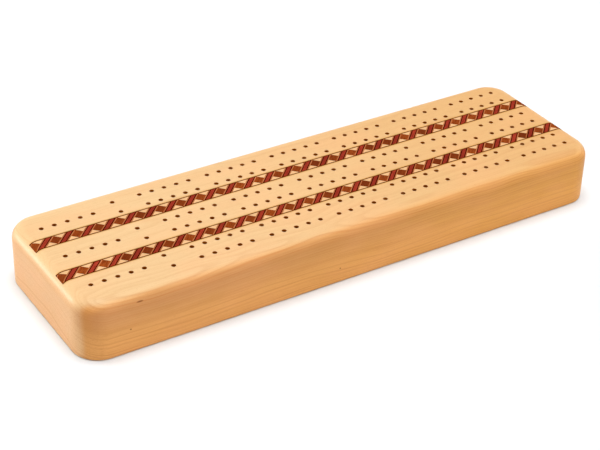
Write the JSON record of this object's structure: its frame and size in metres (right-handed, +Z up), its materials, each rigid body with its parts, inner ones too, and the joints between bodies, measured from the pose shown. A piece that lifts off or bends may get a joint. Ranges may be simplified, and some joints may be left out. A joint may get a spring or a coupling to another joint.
{
  "type": "cribbage board",
  "caption": "Long three-lane cribbage board in pale hardwood with rounded edges, drilled peg holes, marquetry strips between lanes and a peg store under a sliding lid.",
  "frame": {"origin": "middle of the base, on the surface the board stands on", "axes": "+X along the board towards the last hole of each lane, +Y to the rear long side, +Z up through the drilled top"},
  "size_m": [0.3446, 0.1028, 0.0357],
  "materials": {
    "maple": "satin lacquered maple",
    "lid_maple": "satin lacquered maple",
    "red_wood": "satin lacquered red hardwood",
    "dark_wood": "satin lacquered dark hardwood",
    "pale_wood": "satin lacquered pale veneer",
    "brown_wood": "satin lacquered walnut-brown hardwood",
    "cream_wood": "satin lacquered cream hardwood",
    "border_wood": "satin lacquered olive-brown veneer",
    "brass_metal": "polished turned brass",
    "steel_metal": "turned steel",
    "copper_metal": "polished copper-plated brass"
  },
  "bodies": {
    "board": {"board_body": "maple", "front_strip_red_bars": "red_wood", "front_strip_dark_lines": "dark_wood", "front_strip_pale_lines": "pale_wood", "front_strip_brown_tiles": "brown_wood", "front_strip_cream_triangles": "cream_wood", "front_strip_outer_line": "border_wood", "front_strip_inner_line": "border_wood", "rear_strip_red_bars": "red_wood", "rear_strip_dark_lines": "dark_wood", "rear_strip_pale_lines": "pale_wood", "rear_strip_brown_tiles": "brown_wood", "rear_strip_cream_triangles": "cream_wood", "rear_strip_outer_line": "border_wood", "rear_strip_inner_line": "border_wood", "brass_peg_front": "brass_metal", "brass_peg_middle": "brass_metal", "brass_peg_rear": "brass_metal", "steel_peg_front": "steel_metal", "steel_peg_middle": "steel_metal", "steel_peg_rear": "steel_metal", "copper_peg_front": "copper_metal", "copper_peg_middle": "copper_metal", "copper_peg_rear": "copper_metal"},
    "lid": {"storage_lid": "lid_maple"}
  },
  "joints": [
    {"name": "lid_slide", "type": "slide", "parent": "board", "child": "lid", "axis": [1, 0, 0], "range_m": [0, 0.146]}
  ]
}
